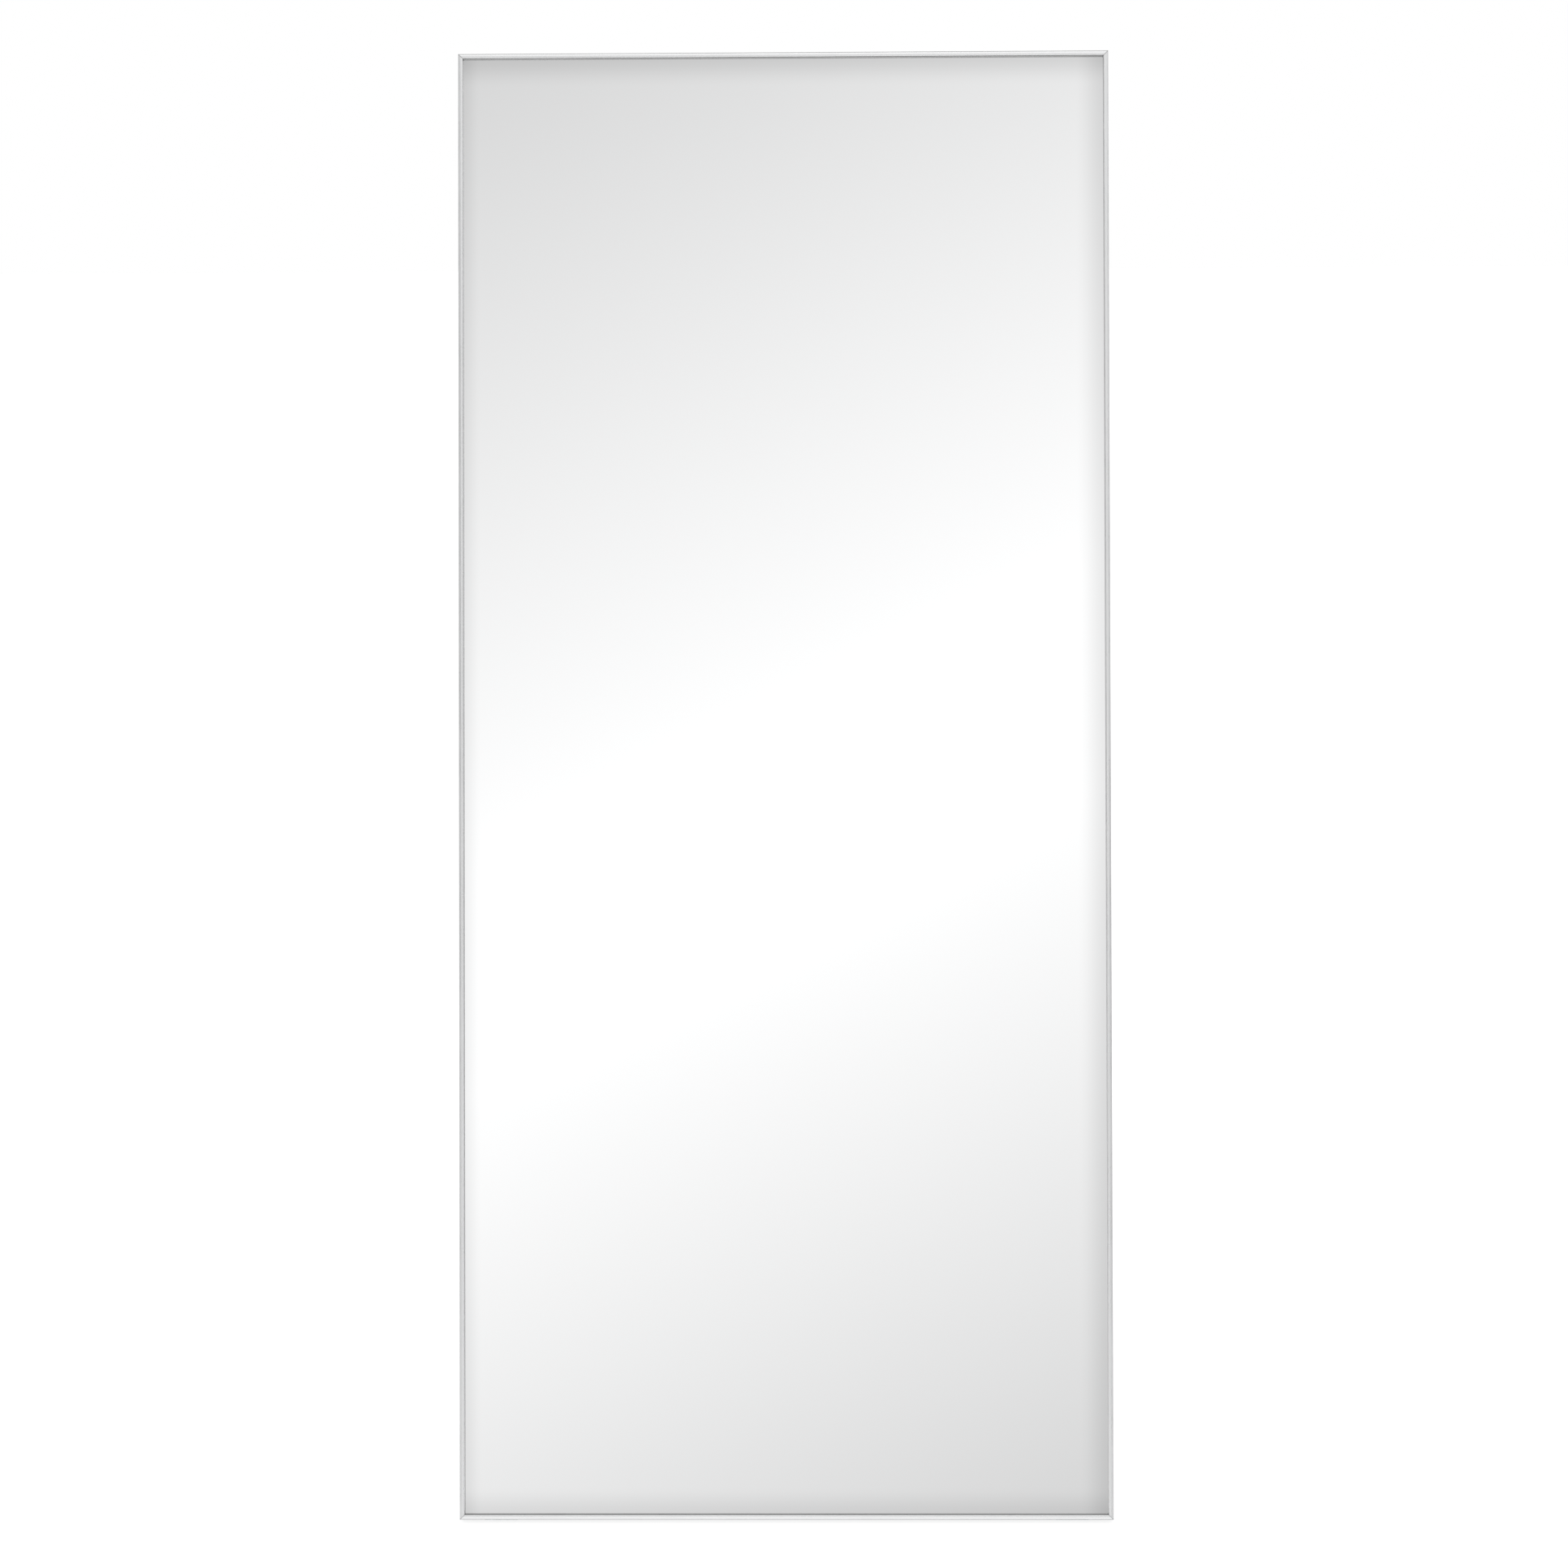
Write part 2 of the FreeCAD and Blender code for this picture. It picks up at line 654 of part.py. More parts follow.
def fitting_rivet():
    """A domed rivet that pins the end fitting in the leg tube."""
    place = vec(HINGE_X, HINGE_Y, HINGE_Z - RIVET_DROP)
    rivet = rod(RIVET_R, place - Y_AXIS * TUBE_R, Y_AXIS * 2 * TUBE_R)
    dome = [
        (0, -RIVET_HEAD_SEAT, 0),
        (RIVET_HEAD_R, -RIVET_HEAD_SEAT, 0),
        (RIVET_HEAD_R, RIVET_HEAD_H, RIVET_HEAD_ROUND),
        (0, RIVET_HEAD_H, 0),
    ]
    half = RIVET_HEAD_R + PAST
    tube_end = rod(TUBE_R, place - Z_AXIS * half, Z_AXIS * 2 * half)
    for direction in (Y_AXIS, -Y_AXIS):
        head = turned(dome, place + direction * TUBE_R, direction).cut(tube_end)
        rivet = rivet.fuse(head)
    return rivet


def screw_places():
    """The two screws at the right-hand tube joint, one in each tube."""
    return [vec(JOINT_X + dx, HINGE_Y + TUBE_R, CROSSBAR_Z) for dx in TUBE_SCREW_OFFSETS]


def tube_screw_hole(place):
    """Through the near wall of the tube, and of the sleeve inside it."""
    half = Y_AXIS * TUBE_SCREW_REACH
    return rod(TUBE_SCREW_R, place - half, half * 2)


def bent_bar(radius):
    """The right leg's outline at one radius: down, round the bend and in to the joint."""
    top = vec(HINGE_X, HINGE_Y, HINGE_Z - TUBE_TOP)
    bend_top = vec(HINGE_X, HINGE_Y, CROSSBAR_Z + BEND_R)
    bend_end = vec(HINGE_X - BEND_R, HINGE_Y, CROSSBAR_Z)
    joint = vec(JOINT_X + JOINT_GAP / 2, HINGE_Y, CROSSBAR_Z)
    section = Part.Face(Part.Wire(Part.makeCircle(radius, bend_top, Z_AXIS)))
    bend_centre = vec(bend_end.x, HINGE_Y, bend_top.z)
    bend = solid_of(section.revolve(bend_centre, Y_AXIS, 90))
    bar = bend.fuse([rod(radius, bend_top, top - bend_top), rod(radius, bend_end, joint - bend_end)])
    return solid_of(bar)


def leg_tube():
    """The right leg: one bent tube with its rivet and screw holes."""
    tube = bent_bar(TUBE_R).cut(bent_bar(TUBE_R - TUBE_WALL))
    tube = tube.cut(rivet_hole())
    for place in screw_places():
        tube = tube.cut(tube_screw_hole(place))
    return solid_of(tube)


def foot_crossbar():
    """The straight tube between the legs, with a screw hole near each end."""
    half = JOINT_X - JOINT_GAP / 2
    start = vec(-half, HINGE_Y, CROSSBAR_Z)
    bar = ring(TUBE_R, TUBE_R - TUBE_WALL, start, vec(2 * half, 0, 0))
    for place in screw_places():
        for at in (place, vec(-place.x, place.y, place.z)):
            bar = bar.cut(tube_screw_hole(at))
    return bar


def joint_sleeve():
    """A short tube inside the right-hand joint that both screws bite into."""
    start = vec(JOINT_X - SLEEVE_HALF, HINGE_Y, CROSSBAR_Z)
    sleeve = ring(SLEEVE_R, SLEEVE_R - SLEEVE_WALL, start, vec(2 * SLEEVE_HALF, 0, 0))
    for place in screw_places():
        sleeve = sleeve.cut(tube_screw_hole(place))
    return sleeve


def joint_screws():
    """Small screws on the rear of the tube joint, their heads seated on the tube."""
    start = vec(JOINT_X - SLEEVE_HALF, HINGE_Y, CROSSBAR_Z)
    tube = rod(TUBE_R, start, vec(2 * SLEEVE_HALF, 0, 0))
    screws = []
    for place in screw_places():
        seat = place - Y_AXIS * TUBE_SCREW_SINK
        size = (TUBE_SCREW_R, TUBE_SCREW_LENGTH, TUBE_SCREW_HEAD_R, SCREW_HEAD_H)
        screw = pan_screw(seat, Y_AXIS, *size)
        screws.append(screw.cut(tube.cut(tube_screw_hole(place))))
    return group(screws)


def rubber_foot():
    """A ribbed rubber sleeve round the stand's foot, cut flat where it meets the floor."""
    start = vec(FOOT_X - FOOT_LENGTH / 2, HINGE_Y, CROSSBAR_Z)
    outline = [(TUBE_R, 0, 0), (FOOT_R, 0, FOOT_EDGE_R)]
    first = FOOT_LENGTH / 2 - FOOT_GROOVE_PITCH * (FOOT_GROOVES - 1) / 2
    for i in range(FOOT_GROOVES):
        low = first + FOOT_GROOVE_PITCH * i - FOOT_GROOVE_WIDTH / 2
        high = low + FOOT_GROOVE_WIDTH
        outline += [
            (FOOT_R, low, FOOT_RIB_R),
            (FOOT_R - FOOT_GROOVE_DEPTH, low, 0),
            (FOOT_R - FOOT_GROOVE_DEPTH, high, 0),
            (FOOT_R, high, FOOT_RIB_R),
        ]
    outline += [(FOOT_R, FOOT_LENGTH, FOOT_EDGE_R), (TUBE_R, FOOT_LENGTH, 0)]
    foot = turned(outline, start, X_AXIS)
    swing = math.degrees(open_angle()) - LEAN_DEG
    across = (-FOOT_LENGTH, FOOT_LENGTH)
    below = box(across, across, (-FOOT_LENGTH, -FOOT_SOLE))
    below.rotate(ORIGIN, X_AXIS, -swing)
    below.translate(vec(FOOT_X, HINGE_Y, CROSSBAR_Z))
    return solid_of(foot.cut(below))


def pivot_bush():
    """The nylon bush pressed into the tongue's eye; it runs on the pivot bolt."""
    start = vec(HINGE_X - TONGUE_T / 2, HINGE_Y, HINGE_Z)
    return ring(BUSH_R, BUSH_BORE_R, start, vec(TONGUE_T, 0, 0))


def stand_pieces():
    screws, rivet = joint_screws(), fitting_rivet()
    pieces = {
        "foot_crossbar": foot_crossbar(),
        "joint_screws": group([screws, mirrored(screws)]),
        "fitting_rivets": group([rivet, mirrored(rivet)]),
    }
    makers = {
        "end_fitting": end_fitting,
        "pivot_bush": pivot_bush,
        "leg_tube": leg_tube,
        "joint_sleeve": joint_sleeve,
        "rubber_foot": rubber_foot,
    }
    for kind, maker in makers.items():
        right_hand_piece = maker()
        for name, side in SIDES.items():
            pieces[f"{kind}_{name}"] = on_side(side, right_hand_piece)
    return pieces


# ---------------------------------------------------------------- assembly


def mirror_pieces():
    pieces = frame_rails()
    pieces.update(corner_keys())
    pieces["corner_key_screws"] = rear_screws(key_screw_places(), DEPTH, KEY_SCREW_LENGTH)
    pieces.update(glass_stack())
    pieces.update(foot_pads())
    pieces.update(stand_bumpers())
    pieces.update(hinge_pieces())
    return pieces


def main():
    os.makedirs("parts", exist_ok=True)
    pivot = vec(0, HINGE_Y, HINGE_Z)
    panel, stand = mirror_pieces(), stand_pieces()
    for shape in stand.values():
        shape.rotate(pivot, X_AXIS, math.degrees(open_angle()))
    pieces = {**panel, **stand}
    for shape in pieces.values():
        shape.rotate(ORIGIN, X_AXIS, -LEAN_DEG)
    bounds = Part.makeCompound(list(pieces.values())).optimalBoundingBox(False)
    shift = vec(0, -(bounds.YMin + bounds.YMax) / 2, -floor_level())
    for name, shape in pieces.items():
        shape.translate(shift)
        shape.exportStep(f"parts/{name}.step")
    pivot_now = FreeCAD.Rotation(X_AXIS, -LEAN_DEG).multVec(pivot) + shift
    print("pieces", len(pieces), "shift", tuple(shift))
    print("pivot", tuple(pivot_now), "opening angle in degrees", math.degrees(open_angle()))
    print("box", bounds.XLength, bounds.YLength, bounds.ZMax - floor_level())


main()
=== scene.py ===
import json
import math

import bmesh
import bpy
from mathutils import Matrix, Vector


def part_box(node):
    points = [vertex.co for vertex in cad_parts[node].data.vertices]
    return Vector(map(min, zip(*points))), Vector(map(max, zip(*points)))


# The looks of a full-length floor mirror: a satin aluminium frame round silvered glass, with a
# hardboard back and a powder-coated tube stand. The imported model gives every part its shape, so
# this script gives each part its material, and makes the floor, the light and the camera.
# Lengths are in metres.

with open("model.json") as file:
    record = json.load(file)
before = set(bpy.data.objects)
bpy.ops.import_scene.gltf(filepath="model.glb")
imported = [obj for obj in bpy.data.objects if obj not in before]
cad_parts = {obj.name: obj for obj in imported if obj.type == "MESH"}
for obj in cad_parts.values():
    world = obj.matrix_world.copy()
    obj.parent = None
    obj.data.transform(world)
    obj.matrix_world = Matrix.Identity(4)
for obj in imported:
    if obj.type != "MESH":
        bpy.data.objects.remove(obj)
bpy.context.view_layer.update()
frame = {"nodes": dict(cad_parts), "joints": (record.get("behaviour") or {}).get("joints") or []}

MM = 0.001
UNSTRETCHED = (1, 1, 1)

# The panel is the frame with its glass. It stands upright in its own coordinates: X across the
# width from the middle, Y back from the front face, Z up from the bottom edge. It leans back by
# LEAN about X. The stand's pivot is known in both frames, which places the panel.
LEAN = math.radians(9.0)
PANEL_WIDTH = 2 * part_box("bottom_rail")[1].x
PANEL_HEIGHT = 1.800
FACE_WIDTH = 6.1 * MM
LIP_DEPTH = 6.4 * MM
PIVOT_DEPTH = 40 * MM
PIVOT_HEIGHT = 1.250
STAND_SWING = math.radians(frame["joints"][0]["range_deg"][1])
PIVOT = Vector(frame["joints"][0]["pos_m"])
PANEL_TURN = Matrix.Rotation(-LEAN, 3, "X")
PANEL_ORIGIN = PIVOT - PANEL_TURN @ Vector((0, PIVOT_DEPTH, PIVOT_HEIGHT))
STAND_TURN = STAND_SWING - LEAN

# The camera's place round, above and away from the point of the panel that it looks at
CAMERA_AZIMUTH = math.radians(1.049)
CAMERA_ELEVATION = math.radians(7.977)
CAMERA_ROLL = math.radians(-0.306)
CAMERA_DISTANCE = 5.5014
CAMERA_TARGET = (-0.6 * MM, 0, PANEL_HEIGHT / 2 - 0.2 * MM)
CAMERA_LENS_MM = 103.0
CAMERA_SENSOR_MM = 36.0


def on_panel(x, y, z):
    """A point of the upright panel, in the shared frame."""
    return PANEL_ORIGIN + PANEL_TURN @ Vector((x, y, z))


def grey(level, warmth=0.0):
    return (level + warmth, level, level - warmth, 1)


# ---------------------------------------------------------------- shader building


class Graph:
    """Adds nodes to the node tree of a material or a world."""

    def __init__(self, tree):
        self.tree = tree

    def node(self, kind, **settings):
        made = self.tree.nodes.new(kind)
        for name, value in settings.items():
            setattr(made, name, value)
        return made

    def feed(self, socket, value):
        """Links an output to an input socket, or sets the input to a constant."""
        if isinstance(value, bpy.types.NodeSocket):
            self.tree.links.new(value, socket)
        else:
            socket.default_value = value

    def math(self, operation, *values):
        made = self.node("ShaderNodeMath", operation=operation)
        for socket, value in zip(made.inputs, values):
            self.feed(socket, value)
        return made.outputs[0]

    def plus(self, first, second):
        return self.math("ADD", first, second)

    def minus(self, first, second):
        return self.math("SUBTRACT", first, second)

    def times(self, first, second):
        return self.math("MULTIPLY", first, second)

    def size_of(self, value):
        return self.math("ABSOLUTE", value)

    def smaller(self, first, second):
        return self.math("MINIMUM", first, second)

    def larger(self, first, second):
        return self.math("MAXIMUM", first, second)

    def blend(self, factor, first, second):
        """The first value where the factor is 0, and the second where it is 1."""
        return self.plus(self.times(first, self.minus(1.0, factor)), self.times(second, factor))

    def ramp(self, value, low, high, to_low=0.0, to_high=1.0):
        """A smooth step from to_low to to_high as the value goes from low to high."""
        made = self.node("ShaderNodeMapRange", interpolation_type="SMOOTHSTEP")
        for socket, number in zip(made.inputs, (value, low, high, to_low, to_high)):
            self.feed(socket, number)
        return made.outputs[0]

    def axes(self, vector):
        made = self.node("ShaderNodeSeparateXYZ")
        self.feed(made.inputs[0], vector)
        return made.outputs


class Shader(Graph):
    """A material's node tree round one Principled shader. Constants for the shader's inputs
    are given by their names, with underscores for spaces."""

    def __init__(self, name, **constants):
        self.material = bpy.data.materials.new(name)
        self.material.use_nodes = True
        super().__init__(self.material.node_tree)
        self.surface = self.tree.nodes["Principled BSDF"]
        for socket, value in constants.items():
            self.surface.inputs[socket.replace("_", " ")].default_value = value

    def drive(self, socket_name, value):
        self.feed(self.surface.inputs[socket_name], value)

    def mix(self, factor, first, second):
        """The first colour where the factor is 0, and the second where it is 1."""
        # The Mix node has sockets of every type, so its colour ones are taken by number
        made = self.node("ShaderNodeMix", data_type="RGBA")
        self.feed(made.inputs[0], factor)
        self.feed(made.inputs[6], first)
        self.feed(made.inputs[7], second)
        return made.outputs[2]

    def place(self, origin=(0, 0, 0), turn=0.0, stretch=UNSTRETCHED):
        """Coordinates in metres in a frame turned about X, each axis divided by its stretch."""
        source = self.node("ShaderNodeTexCoord").outputs["Object"]
        made = self.node("ShaderNodeMapping", vector_type="TEXTURE")
        self.feed(made.inputs["Vector"], source)
        made.inputs["Location"].default_value = origin
        made.inputs["Rotation"].default_value = (turn, 0, 0)
        made.inputs["Scale"].default_value = stretch
        return made.outputs[0]

    def panel(self, stretch=UNSTRETCHED):
        """Coordinates of the upright panel."""
        return self.place(PANEL_ORIGIN, -LEAN, stretch)

    def stand(self):
        """Coordinates of the open stand, from its pivot, with Z along the legs."""
        return self.place(PIVOT, STAND_TURN)

    def noise(self, coordinates, size, detail=3.0, roughness=0.55, distortion=0.0):
        """Cloudy noise from 0 to 1 whose features are about size metres across."""
        made = self.node("ShaderNodeTexNoise")
        self.feed(made.inputs["Vector"], coordinates)
        made.inputs["Scale"].default_value = 1 / size
        made.inputs["Detail"].default_value = detail
        made.inputs["Roughness"].default_value = roughness
        made.inputs["Distortion"].default_value = distortion
        return made.outputs[0]

    def cells(self, coordinates, size, output):
        """Cells about size metres across. The output is the Distance to a cell's point, or
        the cell's Color."""
        made = self.node("ShaderNodeTexVoronoi")
        self.feed(made.inputs["Vector"], coordinates)
        made.inputs["Scale"].default_value = 1 / size
        return made.outputs[output]

    def flakes(self, coordinates, size):
        """Cells about size metres across, each with its own random value from 0 to 1."""
        return self.axes(self.cells(coordinates, size, "Color"))[0]

    def relief(self, height, depth, below=None):
        """A bump of a real depth in metres, on top of another bump if one is given."""
        made = self.node("ShaderNodeBump")
        made.inputs["Strength"].default_value = 1.0
        made.inputs["Distance"].default_value = depth
        self.feed(made.inputs["Height"], height)
        if below is not None:
            self.feed(made.inputs["Normal"], below)
        return made.outputs[0]


# ---------------------------------------------------------------- materials


def anodised_aluminium(name, runs_along, level, painted_return_level):
    """Satin anodised extrusion: die lines along the rail, faint clouding and dark mitre seams.
    The level is set per rail as painted light and shade, and the lip's return, which faces in
    towards the glass, has a level of its own: painted shade on the top and bottom rails, a painted
    highlight on the side rails."""
    line_width, line_depth = 0.9 * MM, 0.003 * MM
    line_stretch = 40
    grain_size, grain_depth = 0.16 * MM, 0.0012 * MM
    cloud_size = 60 * MM
    line_share, cloud_share = 0.6, 0.4
    contrast = 0.04
    seam_core, seam_reach = 0.15 * MM, 0.9 * MM
    seam_weight, seam_roughness = 0.45, 0.2

    shader = Shader(name, Metallic=1.0)
    plain = shader.panel()
    along = shader.panel((line_stretch, 1, 1) if runs_along == "X" else (1, 1, line_stretch))
    lines = shader.noise(along, line_width, detail=4, roughness=0.7)
    grain = shader.noise(along, grain_size, detail=2)
    clouds = shader.noise(plain, cloud_size, detail=4)
    shade = shader.plus(shader.times(lines, line_share), shader.times(clouds, cloud_share))
    colour = shader.mix(shade, grey(level - contrast, -0.004), grey(level + contrast, -0.003))

    x, y, z = shader.axes(plain)
    from_side = shader.minus(PANEL_WIDTH / 2, shader.size_of(x))
    from_end = shader.smaller(z, shader.minus(PANEL_HEIGHT, z))
    from_edge = shader.smaller(from_side, from_end)
    # Painted light and shade on the lip's return, past the face and before the glass: darkened on
    # the top and bottom rails, brightened on the side rails
    past_face = shader.ramp(from_edge, FACE_WIDTH - 0.5 * MM, FACE_WIDTH - 0.1 * MM)
    before_glass = shader.ramp(y, LIP_DEPTH + 0.3 * MM, LIP_DEPTH)
    colour = shader.mix(shader.times(past_face, before_glass), colour, grey(painted_return_level))

    off_mitre = shader.size_of(shader.minus(from_side, from_end))
    seam = shader.ramp(off_mitre, seam_core, seam_reach, 1.0, 0.0)
    shader.drive("Base Color", shader.mix(shader.times(seam, seam_weight), colour, grey(0.30)))
    satin = shader.ramp(shade, 0.3, 0.7, 0.25, 0.34)
    shader.drive("Roughness", shader.plus(satin, shader.times(seam, seam_roughness)))
    shader.drive("Normal", shader.relief(grain, grain_depth, shader.relief(lines, line_depth)))
    return shader.material


def silvered_glass():
    """Mirror glass, faintly smeared by wiping. Its colour darkens towards the frame on every side as
    painted shade.
    """
    under_lip = 4 * MM
    smear_size = 90 * MM

    shader = Shader("silvered_glass", Metallic=1.0)
    plain = shader.panel()
    x, _, z = shader.axes(plain)
    half_width = PANEL_WIDTH / 2 - FACE_WIDTH
    # For each side: the distance in from it, how far in the painted shade reaches, and how dark the
    # painted shade is at the frame
    painted_edge_shades = (
        (shader.plus(x, half_width), 22 * MM, 0.14),
        (shader.minus(half_width, x), 36 * MM, 0.20),
        (shader.minus(PANEL_HEIGHT - FACE_WIDTH, z), 36 * MM, 0.20),
        (shader.minus(z, FACE_WIDTH), 34 * MM, 0.155),
    )
    # Painted shade: the glass's colour is darkened in bands along the frame, most on the right and
    # at the top
    light = 1.0
    for inward, reach, loss in painted_edge_shades:
        light = shader.times(light, shader.ramp(inward, -under_lip, reach, 1 - loss, 1.0))
    shader.drive("Base Color", shader.mix(light, grey(0.0), grey(0.975, -0.002)))
    smears = shader.noise(plain, smear_size, detail=5, distortion=0.6)
    shader.drive("Roughness", shader.ramp(smears, 0.35, 0.75, 0.004, 0.016))
    return shader.material


def safety_film():
    """Pale plastic film with a faint texture."""
    shader = Shader("safety_film", Roughness=0.4)
    texture = shader.noise(shader.panel(), 0.6 * MM, detail=2)
    shader.drive("Base Color", shader.mix(texture, grey(0.66), grey(0.74)))
    shader.drive("Normal", shader.relief(texture, 0.02 * MM))
    return shader.material


def soft_rubber(name, level, grain_size):
    """Matt rubber with a fine moulded grain and a paler dusting."""
    dust_size, dust_weight = 7 * MM, 0.25

    shader = Shader(name, Specular_IOR_Level=0.35)
    plain = shader.place()
    grain = shader.noise(plain, grain_size)
    dust = shader.noise(plain, dust_size, detail=5, roughness=0.7)
    colour = shader.mix(grain, grey(level * 0.8), grey(level * 1.25))
    dusted = shader.ramp(dust, 0.55, 0.8, 0.0, dust_weight)
    shader.drive("Base Color", shader.mix(dusted, colour, grey(level * 3.0, 0.004)))
    shader.drive("Roughness", shader.ramp(dust, 0.4, 0.8, 0.62, 0.84))
    shader.drive("Normal", shader.relief(grain, 0.03 * MM))
    return shader.material


def closed_cell_foam():
    """White foam whose cells show in its skin."""
    shader = Shader("foam_tape", Roughness=0.9)
    cells = shader.cells(shader.panel(), 0.7 * MM, "Distance")
    shader.drive("Base Color", shader.mix(cells, grey(0.62), grey(0.86)))
    shader.drive("Normal", shader.relief(cells, 0.12 * MM))
    return shader.material


def hardboard():
    """The rough face of pressed hardboard: matted brown fibres with the press screen's print."""
    fibre_stretch = 5
    fibre_depth, pit_depth = 0.10 * MM, 0.12 * MM
    screen_pitch = 1.5 * MM
    patch_size, patch_weight = 140 * MM, 0.35
    fleck_size, fleck_weight = 2.2 * MM, 0.7
    pit_weight = 0.22
    dark_fibre = (0.105, 0.056, 0.029, 1)
    pale_fibre = (0.245, 0.146, 0.083, 1)
    patch_colour = (0.15, 0.083, 0.045, 1)
    fleck_colour = (0.055, 0.028, 0.015, 1)
    pit_colour = (0.07, 0.038, 0.02, 1)

    shader = Shader("hardboard", Specular_IOR_Level=0.25)
    plain = shader.panel()
    matting = {"detail": 4, "roughness": 0.7, "distortion": 1.2}
    across = shader.noise(shader.panel((fibre_stretch, 1, 1)), 0.8 * MM, **matting)
    upright = shader.noise(shader.panel((1, 1, fibre_stretch)), 0.9 * MM, **matting)
    fibre = shader.larger(across, upright)
    patches = shader.noise(plain, patch_size, detail=6, roughness=0.6)
    flecks = shader.ramp(shader.noise(plain, fleck_size, detail=2), 0.66, 0.78)
    # The screen's wires run at 45 degrees both ways
    x, _, z = shader.axes(plain)
    phase = 2 * math.pi / screen_pitch / math.sqrt(2)
    weft = shader.math("SINE", shader.times(shader.plus(x, z), phase))
    warp = shader.math("SINE", shader.times(shader.minus(x, z), phase))
    pits = shader.ramp(shader.larger(weft, warp), -0.2, 0.9)

    colour = shader.mix(shader.ramp(fibre, 0.35, 0.8), dark_fibre, pale_fibre)
    colour = shader.mix(shader.ramp(patches, 0.3, 0.7, 0.0, patch_weight), colour, patch_colour)
    colour = shader.mix(shader.times(flecks, fleck_weight), colour, fleck_colour)
    colour = shader.mix(shader.ramp(pits, 0.0, 1.0, pit_weight, 0.0), colour, pit_colour)
    shader.drive("Base Color", colour)
    shader.drive("Roughness", shader.ramp(fibre, 0.3, 0.8, 0.86, 0.66))
    shader.drive("Normal", shader.relief(fibre, fibre_depth, shader.relief(pits, pit_depth)))
    return shader.material


def plated_metal(name, dark, light, rough, spangle_size):
    """Plated or cast metal: small spangles, tumbling scratches and slight staining."""
    spangle_weight = 0.55
    stain_size, stain_weight, stain_roughness = 9 * MM, 0.4, 0.16
    scratch_width, scratch_depth = 0.5 * MM, 0.012 * MM
    scratch_turn, scratch_stretch = 0.6, (18, 1, 1)

    shader = Shader(name, Metallic=1.0)
    plain = shader.place()
    spangle = shader.flakes(plain, spangle_size)
    stain = shader.noise(plain, stain_size, detail=5, roughness=0.65)
    slanting = shader.place(turn=scratch_turn, stretch=scratch_stretch)
    scratches = shader.noise(slanting, scratch_width, roughness=0.7)
    colour = shader.mix(shader.times(spangle, spangle_weight), dark, light)
    stained = shader.ramp(stain, 0.45, 0.8, 0.0, stain_weight)
    shader.drive("Base Color", shader.mix(stained, colour, grey(dark[1] * 0.7, 0.01)))
    shader.drive("Roughness", shader.ramp(stain, 0.3, 0.8, rough, rough + stain_roughness))
    shader.drive("Normal", shader.relief(scratches, scratch_depth))
    return shader.material


def nylon():
    """Natural nylon, slightly translucent, with flow marks."""
    shader = Shader("nylon", Roughness=0.42, Subsurface_Weight=0.15, Subsurface_Scale=1.5 * MM)
    swirl = shader.noise(shader.place(), 3 * MM, detail=4, distortion=1.0)
    shader.drive("Base Color", shader.mix(swirl, (0.78, 0.76, 0.71, 1), (0.86, 0.85, 0.81, 1)))
    shader.drive("Normal", shader.relief(swirl, 0.015 * MM))
    return shader.material


def powder_coat():
    """Silver powder coat on steel tube: orange peel with metal flakes under a soft gloss."""
    peel_size, peel_depth = 1.1 * MM, 0.035 * MM
    flake_size, flake_depth = 0.35 * MM, 0.004 * MM
    flow_size, flow_weight = 45 * MM, 0.25
    roughness, flake_gloss = 0.46, 0.12

    shader = Shader("powder_coat", Metallic=0.65, Coat_Weight=0.18, Coat_Roughness=0.32)
    plain = shader.stand()
    peel = shader.noise(plain, peel_size, detail=2, roughness=0.5)
    flakes = shader.flakes(plain, flake_size)
    flow = shader.noise(plain, flow_size, detail=4)
    colour = shader.mix(flakes, grey(0.43, -0.004), grey(0.56, -0.004))
    colour = shader.mix(shader.ramp(flow, 0.35, 0.7, 0.0, flow_weight), colour, grey(0.42, -0.002))
    shader.drive("Base Color", colour)
    shader.drive("Roughness", shader.minus(roughness, shader.times(flakes, flake_gloss)))
    shader.drive("Normal", shader.relief(peel, peel_depth, shader.relief(flakes, flake_depth)))
    return shader.material


def clear_silicone():
    """Clear, faintly blue silicone with a rippled skin."""
    shader = Shader("clear_silicone", Roughness=0.22, IOR=1.41, Transmission_Weight=0.75)
    ripple = shader.noise(shader.place(), 2.5 * MM)
    shader.drive("Base Color", shader.mix(ripple, (0.80, 0.84, 0.85, 1), (0.90, 0.93, 0.93, 1)))
    shader.drive("Normal", shader.relief(ripple, 0.02 * MM))
    return shader.material


# ---------------------------------------------------------------- dressing the CAD nodes


def both(name):
    """The names of a left and a right node."""
    return [name + "_left", name + "_right"]


